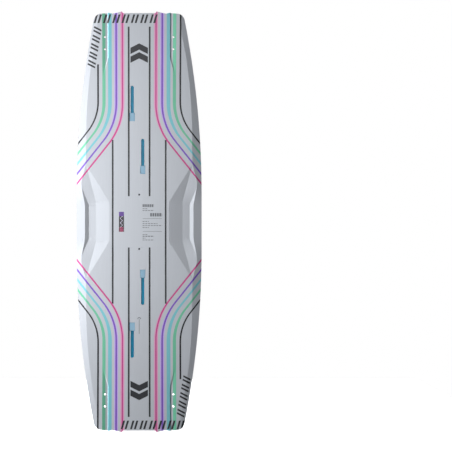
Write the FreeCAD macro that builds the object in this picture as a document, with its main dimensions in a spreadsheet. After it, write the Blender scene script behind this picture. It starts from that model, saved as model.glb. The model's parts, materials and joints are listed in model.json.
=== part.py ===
import FreeCAD, Part
import math
import os

import Sketcher
from FreeCAD import Placement, Rotation, Vector

# A twin-tip kiteboard, held upright by its two grab-handle inserts.
# +Z runs along the board, +X across it, the deck faces -Y and the base faces +Y.
# The origin is midway between the two handle inserts, on the deck.

doc = FreeCAD.newDocument("Kiteboard")

# ---------------------------------------------------------------- driving sizes

SIZES = [
    ("half_width", 205.0, "half the width at mid length"),
    ("straight_half", 90.0, "half length of the parallel part of the outline"),
    ("side_end_x", 147.8, "outline where the side arc meets the tip corner"),
    ("side_end_z", 651.0, "the same point along the length"),
    ("corner_mid_x", 139.6, "point on the tip corner's arc"),
    ("corner_mid_z", 666.4, "the same point along the length"),
    ("corner_end_x", 122.0, "outline where the tip corner ends"),
    ("corner_end_z", 673.4, "the same point along the length"),
    ("tip_z", 675.0, "flat middle of the tip edge"),
    ("big_tooth_x", 56.0, "tooth of the tip edge above the base ridge"),
    ("big_tooth_z", 680.0, "the same point along the length: half the board's length"),
    ("small_tooth_x", 99.5, "tooth of the tip edge at the deck channel's lip"),
    ("small_tooth_z", 676.2, "the same point along the length"),
    ("small_tooth_run", 4.5, "length of the small tooth's outer slope"),
    ("small_tooth_rise", 1.4, "height of the same slope"),
    ("scallop_x", 87.0, "bottom of the scallop between the teeth"),
    ("scallop_z", 673.2, "the same point along the length"),
    ("big_tooth_run", 18.0, "length of the big tooth's outer slope"),
    ("big_tooth_foot", 675.5, "where that slope starts along the length"),
    ("big_tooth_step", 3.0, "length of the big tooth's inner slope"),
    ("overhang", 6.0, "how far the raw layers stand past the outline"),
    ("rocker_end_z", 680.0, "where the rocker is measured"),
    ("rocker_rise", 45.0, "how far the tips rise towards the deck"),
    ("spine_thick", 13.0, "thickness on the centreline at mid length"),
    ("tip_thick", 6.5, "thickness on the centreline at the tips"),
    ("taper_start", 250.0, "where the thickness starts to taper"),
    ("end_z", 690.0, "end of the raw layers"),
    ("pocket_depth", 4.0, "depth at the foot of the side pocket's slope"),
    ("floor_depth", 4.6, "depth at the outer edge of the pocket's floor"),
    ("wall_top_depth", 1.6, "depth at the top of the pocket's outer wall"),
    ("edge_depth_mid", 4.5, "drop of the deck at the rail, mid length"),
    ("edge_taper_start", 189.0, "where that drop starts to taper"),
    ("edge_depth_tip", 1.6, "drop of the deck at the rail, tips"),
    ("channel_depth", 1.8, "depth of the deck's tip channels"),
    ("ridge_height", 1.2, "height of the base's tip ridges"),
    ("groove_depth", 0.7, "depth of the grooves outside the base's tip ridges"),
    ("sheet_thick", 0.4, "top sheet and base sheet"),
    ("laminate_thick", 0.6, "glass and resin laminate on each side of the core"),
    ("rail_width", 10.0, "width of the rail strip round the core"),
    ("tip_rail_start", 600.0, "where a side rail meets a tip rail"),
    ("core_centre_half", 36.0, "half width of the centre core strip"),
    ("core_inner_half", 98.0, "outer side of the inner core strips"),
    ("slot_width", 10.6, "open width of a strap track"),
    ("slot_length", 87.5, "open length of a strap track, to its round end"),
    ("mouth_width", 17.0, "width of a track's mouth"),
    ("mouth_length", 27.0, "length of a track's mouth"),
    ("mouth_corner", 4.0, "corner radius of the mouth"),
    ("track_width", 20.6, "outer width of a track"),
    ("track_wall", 2.0, "end wall of a track"),
    ("track_top", 1.15, "depth of a track's upper face under the deck"),
    ("track_bottom", 8.0, "depth of a track's lower face"),
    ("lip_bottom", 3.6, "depth of the underside of a track's lips"),
    ("cavity_bottom", 6.8, "depth of a track's floor"),
    ("cavity_width", 16.6, "width of a track under its lips"),
    ("cavity_over", 2.0, "how far the cavity runs past the slot's end"),
    ("outer_track_x", -22.7, "place of the outer tracks across the board"),
    ("outer_track_z", 356.0, "where the outer tracks' slots start"),
    ("inner_track_x", 11.5, "place of the inner tracks across the board"),
    ("inner_track_z", 184.0, "where the inner tracks' slots start"),
    ("nut_width", 16.0, "flange of a sliding nut, across the track"),
    ("nut_length", 18.0, "flange of a sliding nut, along the track"),
    ("nut_flange", 2.6, "thickness of the flange"),
    ("nut_neck_rad", 5.0, "radius of the nut's neck"),
    ("nut_neck", 1.2, "height of the nut's neck"),
    ("nut_bottom", 6.5, "depth of the nut's lower face"),
    ("thread_rad", 2.5, "core radius of an M6 thread"),
    ("plug_gap", 0.3, "gap round a mouth plug"),
    ("plug_top", 0.1, "depth of a plug's upper face"),
    ("plug_thick", 2.3, "thickness of a plug"),
    ("plug_chamfer", 0.4, "chamfer of a plug's upper edge"),
    ("handle_z", 89.0, "place of a handle insert from mid length"),
    ("handle_rad", 6.0, "outer radius of a handle insert"),
    ("handle_groove_rad", 5.2, "radius of a handle insert between its bands"),
    ("handle_high", 8.6, "height of a handle insert"),
    ("handle_hole", 7.8, "depth of its threaded hole"),
    ("handle_gap", 0.1, "gap between a handle insert and the laminate over it"),
    ("handle_open_rad", 3.2, "hole in the deck over a handle insert"),
    ("fin_x", 111.0, "place of the fin screws across the board"),
    ("fin_z_near", 561.0, "fin screw nearer mid length"),
    ("fin_z_far", 599.5, "fin screw nearer the tip"),
    ("fin_hole_rad", 3.25, "clearance hole for an M6 fin screw"),
    ("fin_bush_rad", 5.0, "outer radius of a fin bush"),
    ("label_x", -58.4, "centre of the label across the board"),
    ("label_width", 16.4, "label, across the board"),
    ("label_length", 65.5, "label, along the board"),
    ("label_thick", 0.15, "label"),
    ("reach", 120.0, "length of cutting tools through the board"),
    ("cut_margin", 5.0, "how far a cutting tool starts outside what it cuts"),
]

sheet = doc.addObject("Spreadsheet::Sheet", "Sizes")
for row, (alias, value, meaning) in enumerate(SIZES, start=1):
    sheet.set(f"A{row}", alias)
    sheet.set(f"B{row}", str(value))
    sheet.set(f"C{row}", meaning)
    sheet.setAlias(f"B{row}", alias)
doc.recompute()


def size(alias):
    return float(getattr(sheet, alias))


def bind(thing, path, formula):
    """Ties a property to a formula of sheet aliases, written as {alias}."""
    for alias, _value, _meaning in SIZES:
        formula = formula.replace("{" + alias + "}", "Sizes." + alias)
    thing.setExpression(path, formula)


# ---------------------------------------------------------------- shape of the two faces

rocker_radius = size("rocker_end_z") ** 2 / (2 * size("rocker_rise"))


def rocker(z):
    return -z * z / (2 * rocker_radius)


def side_arc():
    """Radius of the outline's side arc, tangent to its straight middle."""
    rise = size("side_end_z") - size("straight_half")
    drop = size("half_width") - size("side_end_x")
    return (rise * rise + drop * drop) / (2 * drop)


def outline_x(z):
    """Half width of the outline at a distance z from mid length, tip corners left out."""
    past = max(0.0, abs(z) - size("straight_half"))
    radius = side_arc()
    return size("half_width") - radius + math.sqrt(radius * radius - past * past)


def between(z, z_a, a, z_b, b):
    share = min(1.0, max(0.0, (z - z_a) / (z_b - z_a)))
    return a + (b - a) * share


def thickness(z):
    return between(z, size("taper_start"), size("spine_thick"), size("rocker_end_z"), size("tip_thick"))


def deck_edge(z):
    """Drop of the deck at the rail."""
    return between(z, size("edge_taper_start"), size("edge_depth_mid"), size("end_z"), size("edge_depth_tip"))


# A crease is a line on one quarter of a face: (z, x, depth) at each of its corners.
# Depth is measured from the rocker line towards the base. APEX is where a side pocket
# ends in the rail bevel, and WALL_END is where its outer wall fades out.
APEX = (189.0, 174.5, 0.0)
WALL_END = (113.0, 189.0, 1.2)
CHANNEL_START = (475.0, 117.5, 0.0)

END = size("end_z")
POCKET = size("pocket_depth")
FLOOR = size("floor_depth")
WALL_TOP = size("wall_top_depth")
CHANNEL = size("channel_depth")

DECK_CREASES = [
    [(0.0, 0.0, 0.0), (END, 0.0, 0.0)],
    [(0.0, 97.8, 0.0), (64.5, 97.8, 0.0), APEX],
    [(0.0, 142.0, POCKET), (64.5, 142.0, POCKET), APEX],
    [(0.0, 165.5, FLOOR), (56.0, 165.5, FLOOR), WALL_END],
    [(0.0, 178.0, WALL_TOP), (56.0, 178.0, WALL_TOP), WALL_END, (131.0, 190.0, 1.0), APEX,
     (323.0, 172.7, 0.0), (389.0, 169.4, 0.0), (455.0, 163.5, 0.0), (534.0, 153.0, 0.0),
     (609.0, 138.0, 0.0), (END, 132.0, 0.0)],
    [CHANNEL_START, (534.0, 100.0, 0.0), (END, 100.0, 0.0)],
    [CHANNEL_START, (534.0, 102.5, CHANNEL), (END, 102.5, CHANNEL)],
    [CHANNEL_START, (534.0, 119.6, 0.0), (END, 119.6, 0.0)],
]

# The base falls from its spine to a hollow and rises again to a ridge near the rail, which
# runs straight out of the outline. Shares are of the thickness on the centreline. Its
# creases carry a height added to that shape, used by the channel at each tip.
HOLLOW_SHARE = 11.0 / 13.0
BASE_RIDGE_SHARE = 12.0 / 13.0
BASE_EDGE_SHARE = 10.0 / 13.0
BASE_RIDGE_X = 191.0
BASE_RIDGE_END = 389.0
RIDGE = size("ridge_height")
GROOVE = -size("groove_depth")
FOLD_START = (475.0, 99.0, 0.0)
RIDGE_START = (475.0, 54.5, 0.0)
RIDGE_FULL = (609.0, 56.0, RIDGE)
BASE_CREASES = [
    [(0.0, 0.0, 0.0), (END, 0.0, 0.0)],
    [(0.0, 138.5, 0.0), (422.0, 138.5, 0.0), (534.0, 134.0, 0.0), (609.0, 130.0, 0.0), (END, 125.5, 0.0)],
    [(0.0, BASE_RIDGE_X, 0.0), (BASE_RIDGE_END, BASE_RIDGE_X, 0.0)],
    [RIDGE_START, (534.0, 53.0, 0.0), (END, 53.0, 0.0)],
    [RIDGE_START, (534.0, 56.0, 0.5 * RIDGE), RIDGE_FULL, (END, 56.0, RIDGE)],
    [FOLD_START, (500.0, 84.0, 0.25 * RIDGE), (534.0, 73.0, 0.5 * RIDGE), (572.0, 62.5, 0.75 * RIDGE),
     RIDGE_FULL],
    [FOLD_START, (534.0, 98.0, GROOVE), (END, 98.0, GROOVE)],
    [FOLD_START, (534.0, 100.5, 0.0), (END, 100.5, 0.0)],
]
ROCKER_STATIONS = {0.0, 30.0, 77.0, 89.0, 101.0, 160.0, 220.0, 250.0, 286.0, 356.0, 405.0, 422.0, 500.0,
                   572.0, 650.0, 668.0}


def on_line(corners, z):
    """(x, value) of a crease at z, or None where it doesn't run."""
    for (z_a, x_a, v_a), (z_b, x_b, v_b) in zip(corners, corners[1:]):
        if z_a <= z <= z_b:
            return between(z, z_a, x_a, z_b, x_b), between(z, z_a, v_a, z_b, v_b)
    return None


def deck_lines(z):
    """Corners of the deck's half section at z, by crease number."""
    lines = {}
    for number, corners in enumerate(DECK_CREASES):
        found = on_line(corners, z)
        if found:
            lines[number] = (found[0], rocker(z) + found[1])
    bevel_x, bevel_y = on_line(DECK_CREASES[4], z)
    edge = outline_x(z)
    slope = (deck_edge(z) - bevel_y) / (edge - bevel_x)
    past = edge + size("overhang")
    lines[len(DECK_CREASES)] = (past, rocker(z) + bevel_y + slope * (past - bevel_x))
    return lines


def base_share(x, z):
    """Depth of the base at (x, z) as a share of the thickness on the centreline."""
    hollow = on_line(BASE_CREASES[1], z)[0]
    if x <= hollow:
        return 1.0 + (HOLLOW_SHARE - 1.0) * x / hollow
    straight = BASE_CREASES[1][0][1]
    rise = (BASE_RIDGE_SHARE - HOLLOW_SHARE) / (BASE_RIDGE_X - straight)
    if x <= BASE_RIDGE_X or z > BASE_RIDGE_END:
        return HOLLOW_SHARE + rise * (x - hollow)
    fall = (BASE_EDGE_SHARE - BASE_RIDGE_SHARE) / (size("half_width") - BASE_RIDGE_X)
    return HOLLOW_SHARE + rise * (BASE_RIDGE_X - hollow) + fall * (x - BASE_RIDGE_X)


def base_lines(z):
    """Corners of the base's half section at z, by crease number."""
    thick = thickness(z)
    lines = {}
    for number, corners in enumerate(BASE_CREASES):
        found = on_line(corners, z)
        if found:
            x, extra = found
            lines[number] = (x, rocker(z) + thick * base_share(x, z) + extra)
    past = outline_x(z) + size("overhang")
    lines[len(BASE_CREASES)] = (past, rocker(z) + thick * base_share(past, z))
    return lines


def stations():
    found = set(ROCKER_STATIONS)
    for corners in DECK_CREASES + BASE_CREASES:
        found |= {corner[0] for corner in corners}
    return sorted(found)


def full_rows(lines_at):
    """Rows from the lower tip to the upper tip: (z, {(side, crease): (x, y)})."""
    rows = []
    heights = stations()
    for z in [-value for value in reversed(heights[1:])] + heights:
        row = {}
        for number, (x, y) in lines_at(abs(z)).items():
            for side in (-1, 1):
                row[(side if x > 0 else 0, number)] = (side * x, y)
        rows.append((z, row))
    return rows


def row_points(row, shift, z):
    """The row's points across the board, each once, and where each crease lies among them."""
    points = []
    index = {}
    for key, (x, y) in sorted(row.items(), key=lambda item: item[1]):
        if not points or x - points[-1].x > 1e-6:
            points.append(Vector(x, y + shift, z))
        index[key] = len(points) - 1
    return points, index


def flat_faces(low, high):
    """Faces that close the cell between two runs of points: one quad if flat, else triangles.
    A twisted quad is split along the diagonal nearer the deck, so that both sides of the board match."""
    if len(low) == 2 and len(high) == 2:
        a, b, c, d = low[0], low[1], high[1], high[0]
        normal = (b - a).cross(d - a)
        if abs((c - a).dot(normal)) < 1e-9 * normal.Length:
            return [Part.Face(Part.makePolygon([a, b, c, d, a]))]
        halves = ([a, b, c, a], [a, c, d, a]) if a.y + c.y < b.y + d.y else ([a, b, d, a], [b, c, d, b])
        return [Part.Face(Part.makePolygon(half)) for half in halves]
    faces = []
    i = 0
    j = 0
    while i < len(low) - 1 or j < len(high) - 1:
        go_low = j == len(high) - 1 or (i < len(low) - 1 and low[i + 1].x <= high[j + 1].x)
        third = low[i + 1] if go_low else high[j + 1]
        faces.append(Part.Face(Part.makePolygon([low[i], third, high[j], low[i]])))
        i += 1 if go_low else 0
        j += 0 if go_low else 1
    return faces


def face_sheet(lines_at, shift):
    """The faces of one surface of the board, moved by shift, with its border points."""
    faces = []
    borders = []
    rows = full_rows(lines_at)
    for z, row in rows:
        borders.append(row_points(row, shift, z)[0])
    for (z_a, row_a), (z_b, row_b) in zip(rows, rows[1:]):
        low, low_index = row_points(row_a, shift, z_a)
        high, high_index = row_points(row_b, shift, z_b)
        shared = sorted(set(low_index) & set(high_index),
                        key=lambda key: (low_index[key], high_index[key]))
        for left, right in zip(shared, shared[1:]):
            run_low = low[low_index[left]:low_index[right] + 1]
            run_high = high[high_index[left]:high_index[right] + 1]
            if len(run_low) > 1 or len(run_high) > 1:
                faces += flat_faces(run_low, run_high)
    return faces, borders


def slab(name, upper, upper_shift, lower, lower_shift):
    """A raw layer of the board between two of its surfaces."""
    faces, deck_rows = face_sheet(upper, upper_shift)
    more, base_rows = face_sheet(lower, lower_shift)
    faces += more
    for side in (0, -1):
        for (d_a, b_a), (d_b, b_b) in zip(zip(deck_rows, base_rows),
                                          zip(deck_rows[1:], base_rows[1:])):
            corners = [d_a[side], d_b[side], b_b[side], b_a[side], d_a[side]]
            faces.append(Part.Face(Part.makePolygon(corners)))
        loop = deck_rows[side] + base_rows[side][::-1] + deck_rows[side][:1]
        faces.append(Part.Face(Part.makePolygon(loop)))
    shell = Part.makeCompound(faces)
    shell.sewShape()
    solid = Part.Solid(shell.Shells[0])
    if solid.Volume < 0:
        solid.reverse()
    layer = doc.addObject("Part::Feature", name)
    layer.Shape = solid
    return layer


# ---------------------------------------------------------------- outline


def outline_wire():
    """The board's plan outline, one quarter's points turned into all four."""
    side_x, side_z = size("side_end_x"), size("side_end_z")
    half_drop = outline_x((size("straight_half") + side_z) / 2)
    half_rise = (size("straight_half") + side_z) / 2
    tooth_x, tooth_z = size("big_tooth_x"), size("big_tooth_z")
    quarter = [
        ("line", (size("half_width"), 0.0), None, (size("half_width"), size("straight_half"))),
        ("arc", None, (half_drop, half_rise), (side_x, side_z)),
        ("arc", None, (size("corner_mid_x"), size("corner_mid_z")),
         (size("corner_end_x"), size("corner_end_z"))),
        ("line", None, None, (size("small_tooth_x") + size("small_tooth_run"),
                             size("small_tooth_z") - size("small_tooth_rise"))),
        ("line", None, None, (size("small_tooth_x"), size("small_tooth_z"))),
        ("line", None, None, (size("scallop_x"), size("scallop_z"))),
        ("line", None, None, (tooth_x + size("big_tooth_run"), size("big_tooth_foot"))),
        ("line", None, None, (tooth_x, tooth_z)),
        ("line", None, None, (tooth_x - size("big_tooth_step"), size("tip_z"))),
        ("line", None, None, (0.0, size("tip_z"))),
    ]
    edges = []
    for flip_x, flip_z in ((1, 1), (-1, 1), (-1, -1), (1, -1)):

        def place(point):
            return Vector(flip_x * point[0], 0.0, flip_z * point[1])

        start = quarter[0][1]
        for kind, _first, middle, end in quarter:
            if kind == "arc":
                edges.append(Part.Arc(place(start), place(middle), place(end)).toShape())
            else:
                edges.append(Part.LineSegment(place(start), place(end)).toShape())
            start = end
    return Part.Wire(Part.__sortEdges__(edges))


def prism(name, face, depth_formula):
    """A face of the XZ plane drawn out through the whole board."""
    tool = doc.addObject("Part::Extrusion", name)
    tool.Base = face
    tool.DirMode = "Custom"
    tool.Dir = Vector(0, 1, 0)
    tool.Solid = True
    tool.Symmetric = True
    bind(tool, "LengthFwd", depth_formula)
    return tool


outline = doc.addObject("Part::Feature", "Outline")
outline.Shape = Part.Face(outline_wire())
core_outline = doc.addObject("Part::Feature", "CoreOutline")
core_outline.Shape = Part.Face(Part.Wire(outline_wire().makeOffset2D(-size("rail_width")).Edges))
outline_prism = prism("OutlinePrism", outline, "{reach} * 2")
core_prism = prism("CorePrism", core_outline, "{reach} * 2")

# ---------------------------------------------------------------- simple tools


def box(name, low_x, low_y, low_z, wide, deep, high):
    piece = doc.addObject("Part::Box", name)
    for path, formula in (("Length", wide), ("Width", deep), ("Height", high),
                          (".Placement.Base.x", low_x), (".Placement.Base.y", low_y),
                          (".Placement.Base.z", low_z)):
        bind(piece, path, formula)
    return piece


def through_hole(name, x, z, radius):
    """A cylinder along Y through the whole board."""
    piece = doc.addObject("Part::Cylinder", name)
    piece.Placement = Placement(Vector(0, 0, 0), Rotation(Vector(1, 0, 0), -90))
    bind(piece, "Radius", radius)
    bind(piece, "Height", "{reach} * 2")
    bind(piece, ".Placement.Base.x", x)
    bind(piece, ".Placement.Base.y", "-{reach}")
    bind(piece, ".Placement.Base.z", z)
    return piece


def fuse(name, pieces):
    whole = doc.addObject("Part::MultiFuse", name)
    whole.Shapes = pieces
    return whole


def common(name, pieces):
    whole = doc.addObject("Part::MultiCommon", name)
    whole.Shapes = pieces
    return whole


def cut(name, base, tool):
    whole = doc.addObject("Part::Cut", name)
    whole.Base = base
    whole.Tool = tool
    return whole


# ---------------------------------------------------------------- PartDesign helpers


def new_body(label):
    body = doc.addObject("PartDesign::Body", "Body_" + label)
    body.Label = label
    return body


def sketch_on(body, role, name, along, up):
    """A sketch on one of the body's own origin planes, moved in that plane and off it."""
    plane = [item for item in body.Origin.OriginFeatures if item.Role == role][0]
    sketch = body.newObject("Sketcher::SketchObject", name)
    sketch.AttachmentSupport = [(plane, "")]
    sketch.MapMode = "FlatFace"
    bind(sketch, ".AttachmentOffset.Base.y", along)
    bind(sketch, ".AttachmentOffset.Base.z", up)
    return sketch


def rectangle(sketch, wide, high):
    """A rectangle centred on the sketch's origin."""
    corners = [(-5, -5), (5, -5), (5, 5), (-5, 5)]
    for a, b in zip(corners, corners[1:] + corners[:1]):
        sketch.addGeometry(Part.LineSegment(Vector(*a, 0), Vector(*b, 0)), False)
    for line in range(4):
        sketch.addConstraint(Sketcher.Constraint("Coincident", line, 2, (line + 1) % 4, 1))
        kind = "Horizontal" if line % 2 == 0 else "Vertical"
        sketch.addConstraint(Sketcher.Constraint(kind, line))
    sketch.addConstraint(Sketcher.Constraint("Symmetric", 0, 1, 1, 2, -1, 1))
    wide_row = sketch.addConstraint(Sketcher.Constraint("DistanceX", 0, 1, 0, 2, 10.0))
    high_row = sketch.addConstraint(Sketcher.Constraint("DistanceY", 1, 1, 1, 2, 10.0))
    bind(sketch, f"Constraints[{wide_row}]", wide)
    bind(sketch, f"Constraints[{high_row}]", high)
    return sketch


def circle(sketch, radius):
    """A circle centred on the sketch's origin."""
    sketch.addGeometry(Part.Circle(Vector(0, 0, 0), Vector(0, 0, 1), 3.0), False)
    sketch.addConstraint(Sketcher.Constraint("Coincident", 0, 3, -1, 1))
    row = sketch.addConstraint(Sketcher.Constraint("Radius", 0, 3.0))
    bind(sketch, f"Constraints[{row}]", radius)
    return sketch


def pad(body, name, sketch, length):
    feature = body.newObject("PartDesign::Pad", name)
    feature.Profile = sketch
    bind(feature, "Length", length)
    return feature


def pocket(body, name, sketch, length):
    """Cuts from the sketch towards its own minus Z."""
    feature = body.newObject("PartDesign::Pocket", name)
    feature.Profile = sketch
    bind(feature, "Length", length)
    return feature


def round_uprights(body, name, base, radius):
    """Rounds the four edges of a block that stand along its local Z."""
    doc.recompute()
    names = []
    for number, edge in enumerate(base.Shape.Edges, start=1):
        ends = [vertex.Point for vertex in edge.Vertexes]
        if len(ends) == 2 and abs(ends[0].x - ends[1].x) + abs(ends[0].y - ends[1].y) < 1e-6:
            names.append(f"Edge{number}")
    feature = body.newObject("PartDesign::Fillet", name)
    feature.Base = (base, names)
    bind(feature, "Radius", radius)
    return feature


# ---------------------------------------------------------------- tracks, plugs and nuts

# Each track has its own frame: x across the board, y towards the tip, z out of the deck,
# with its origin on the deck where the mouth ends and the slot starts.


def track_placement(x, z):
    """Frame of a track whose slot starts at z and runs towards the tip on that side."""
    middle = abs(z) + (size("slot_length") - size("mouth_length")) / 2
    tilt = math.degrees(math.atan(middle / rocker_radius))
    turn = Rotation(Vector(1, 0, 0), 90 + tilt)
    slot_start = Vector(0, rocker(middle), middle) + turn.multVec(Vector(0, abs(z) - middle, 0))
    if z > 0:
        return Placement(slot_start + Vector(x, 0, 0), turn)
    half_turn = Placement(Vector(0, 0, 0), Rotation(Vector(0, 1, 0), 180))
    return half_turn.multiply(Placement(slot_start - Vector(x, 0, 0), turn))


def track(label, placement):
    body = new_body(label)
    block = rectangle(
        sketch_on(body, "XY_Plane", "Block", "({slot_length} + {cavity_over} - {mouth_length}) / 2",
                  "-{track_bottom}"),
        "{track_width}", "{slot_length} + {cavity_over} + {mouth_length} + 2 * {track_wall}")
    pad(body, "BlockPad", block, "{track_bottom} - {track_top}")
    slot = rectangle(
        sketch_on(body, "XY_Plane", "Slot", "({slot_length} - {slot_width} / 2) / 2", "-{track_top}"),
        "{slot_width}", "{slot_length} - {slot_width} / 2")
    pocket(body, "SlotCut", slot, "{lip_bottom} - {track_top}")
    end = circle(
        sketch_on(body, "XY_Plane", "SlotEnd", "{slot_length} - {slot_width} / 2", "-{track_top}"),
        "{slot_width} / 2")
    pocket(body, "SlotEndCut", end, "{lip_bottom} - {track_top}")
    cavity = rectangle(
        sketch_on(body, "XY_Plane", "Cavity", "({slot_length} + {cavity_over} - {mouth_length}) / 2",
                  "-{lip_bottom}"),
        "{cavity_width}", "{slot_length} + {cavity_over} + {mouth_length}")
    pocket(body, "CavityCut", cavity, "{cavity_bottom} - {lip_bottom}")
    mouth = rectangle(
        sketch_on(body, "XY_Plane", "Mouth", "-{mouth_length} / 2", "-{track_top}"),
        "{mouth_width}", "{mouth_length}")
    pocket(body, "MouthCut", mouth, "{cavity_bottom} - {track_top}")
    body.Placement = placement
    return body


def mouth_plug(label, placement):
    body = new_body(label)
    plan = rectangle(
        sketch_on(body, "XY_Plane", "Plan", "-{mouth_length} / 2", "-{plug_top} - {plug_thick}"),
        "{mouth_width} - 2 * {plug_gap}", "{mouth_length} - 2 * {plug_gap}")
    block = pad(body, "PlanPad", plan, "{plug_thick}")
    rounded = round_uprights(body, "Corners", block, "{mouth_corner} - {plug_gap}")
    doc.recompute()
    top = [f"Face{number}" for number, face in enumerate(rounded.Shape.Faces, start=1)
           if face.normalAt(0, 0).z > 0.99]
    bevel = body.newObject("PartDesign::Chamfer", "TopBevel")
    bevel.Base = (rounded, top)
    bind(bevel, "Size", "{plug_chamfer}")
    body.Placement = placement
    return body


def sliding_nut(label, placement):
    body = new_body(label)
    flange = rectangle(
        sketch_on(body, "XY_Plane", "Flange", "-{mouth_length} / 2", "-{nut_bottom}"),
        "{nut_width}", "{nut_length}")
    pad(body, "FlangePad", flange, "{nut_flange}")
    neck = circle(
        sketch_on(body, "XY_Plane", "Neck", "-{mouth_length} / 2", "-{nut_bottom} + {nut_flange}"),
        "{nut_neck_rad}")
    pad(body, "NeckPad", neck, "{nut_neck}")
    thread = circle(
        sketch_on(body, "XY_Plane", "Thread", "-{mouth_length} / 2",
                  "-{nut_bottom} + {nut_flange} + {nut_neck}"),
        "{thread_rad}")
    pocket(body, "ThreadCut", thread, "{nut_flange} + {nut_neck} + {cut_margin}")
    body.Placement = placement
    return body


def track_opening(label, placement):
    """The keyhole that a track's slot and mouth need through the deck's layers."""
    slot = box("SlotTool_" + label, "-{slot_width} / 2", "0", "-{track_top}",
               "{slot_width}", "{slot_length} - {slot_width} / 2", "{track_top} + {cut_margin}")
    end = doc.addObject("Part::Cylinder", "SlotEndTool_" + label)
    bind(end, "Radius", "{slot_width} / 2")
    bind(end, "Height", "{track_top} + {cut_margin}")
    bind(end, ".Placement.Base.y", "{slot_length} - {slot_width} / 2")
    bind(end, ".Placement.Base.z", "-{track_top}")
    mouth = box("MouthTool_" + label, "-{mouth_width} / 2", "-{mouth_length}", "-{track_top}",
                "{mouth_width}", "{mouth_length}", "{track_top} + {cut_margin}")
    whole = fuse("Opening_" + label, [slot, end, mouth])
    whole.Placement = placement
    return whole


def track_bed(label, placement):
    """The block that a track takes out of the core."""
    bed = box("BedTool_" + label, "-{track_width} / 2", "-{mouth_length} - {track_wall}",
              "-{track_bottom}", "{track_width}",
              "{slot_length} + {cavity_over} + {mouth_length} + 2 * {track_wall}",
              "{track_bottom} + {cut_margin}")
    whole = doc.addObject("Part::Compound", "Bed_" + label)
    whole.Links = [bed]
    whole.Placement = placement
    return whole


TRACKS = {
    "upper_outer": (size("outer_track_x"), size("outer_track_z")),
    "upper_inner": (size("inner_track_x"), size("inner_track_z")),
    "lower_inner": (size("inner_track_x"), -size("inner_track_z")),
    "lower_outer": (size("outer_track_x"), -size("outer_track_z")),
}
nodes = []
openings = []
beds = []
for place_name, (track_x, track_z) in TRACKS.items():
    spot = track_placement(track_x, track_z)
    nodes.append(track("track_" + place_name, spot))
    nodes.append(mouth_plug("mouth_plug_" + place_name, spot))
    nodes.append(sliding_nut("sliding_nut_" + place_name, spot))
    openings.append(track_opening(place_name, spot))
    beds.append(track_bed(place_name, spot))

# ---------------------------------------------------------------- handle inserts


def handle_insert(label, towards):
    """A threaded insert: two bands with a groove between them, blind M6 thread from the top."""
    body = new_body(label)
    barrel = circle(sketch_on(body, "XY_Plane", "Barrel", "0", "-{handle_high}"), "{handle_rad}")
    pad(body, "BarrelPad", barrel, "{handle_high}")
    ring = sketch_on(body, "XY_Plane", "Ring", "0", "-{handle_high} / 3")
    circle(ring, "{handle_rad} + {cut_margin}")
    ring.addGeometry(Part.Circle(Vector(0, 0, 0), Vector(0, 0, 1), 2.0), False)
    ring.addConstraint(Sketcher.Constraint("Coincident", 1, 3, -1, 1))
    inner = ring.addConstraint(Sketcher.Constraint("Radius", 1, 2.0))
    bind(ring, f"Constraints[{inner}]", "{handle_groove_rad}")
    pocket(body, "Groove", ring, "{handle_high} / 3")
    thread = circle(sketch_on(body, "XY_Plane", "Thread", "0", "0"), "{thread_rad}")
    pocket(body, "ThreadCut", thread, "{handle_hole}")
    z = towards * size("handle_z")
    top = rocker(z) + size("sheet_thick") + size("laminate_thick") + size("handle_gap")
    body.Placement = Placement(Vector(0, top, z), Rotation(Vector(1, 0, 0), 90))
    return body


handle_tools = []
for place_name, towards in (("upper", 1), ("lower", -1)):
    nodes.append(handle_insert("handle_insert_" + place_name, towards))
    tool = doc.addObject("Part::Cylinder", "HandleBed_" + place_name)
    bind(tool, "Radius", "{handle_rad}")
    bind(tool, "Height", "{handle_high} + {cut_margin}")
    height = (rocker(size("handle_z")) + size("sheet_thick") + size("laminate_thick") + size("handle_gap")
              - size("cut_margin"))
    tool.Placement = Placement(Vector(0, height, towards * size("handle_z")),
                               Rotation(Vector(1, 0, 0), -90))
    handle_tools.append(tool)
handle_openings = [
    through_hole("HandleHole_upper", "0", "{handle_z}", "{handle_open_rad}"),
    through_hole("HandleHole_lower", "0", "-{handle_z}", "{handle_open_rad}"),
]

# ---------------------------------------------------------------- raw layers

SHEET = size("sheet_thick")
SKIN = size("sheet_thick") + size("laminate_thick")
raw_label = slab("RawLabel", deck_lines, -size("label_thick"), deck_lines, 0.0)
raw_topsheet = slab("RawTopsheet", deck_lines, 0.0, deck_lines, SHEET)
raw_deck_laminate = slab("RawDeckLaminate", deck_lines, SHEET, deck_lines, SKIN)
raw_core = slab("RawCore", deck_lines, SKIN, base_lines, -SKIN)
raw_base_laminate = slab("RawBaseLaminate", base_lines, -SKIN, base_lines, -SHEET)
raw_base_sheet = slab("RawBaseSheet", base_lines, -SHEET, base_lines, 0.0)

# ---------------------------------------------------------------- fin screws

fin_holes = []
for quarter_name, x_sign, z_sign in (("upper_left", "-", ""), ("upper_right", "", ""),
                                     ("lower_left", "-", "-"), ("lower_right", "", "-")):
    bushes = []
    for which in ("near", "far"):
        x = x_sign + "{fin_x}"
        z = z_sign + "{fin_z_" + which + "}"
        tag = quarter_name + "_" + which
        hole = through_hole("FinHole_" + tag, x, z, "{fin_hole_rad}")
        outside = through_hole("FinBush_" + tag, x, z, "{fin_bush_rad}")
        bushes.append(cut("FinTube_" + tag, outside, hole))
        fin_holes.append((hole, outside))
    group = common("FinBushes_" + quarter_name, [fuse("FinTubes_" + quarter_name, bushes), raw_core])
    group.Label = "fin_bushes_" + quarter_name
    nodes.append(group)

# ---------------------------------------------------------------- layers and core


def layer(label, raw, tools):
    whole = cut("Cut_" + label, common("Trim_" + label, [raw, outline_prism]),
                fuse("Tools_" + label, tools))
    whole.Label = label
    nodes.append(whole)


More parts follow.
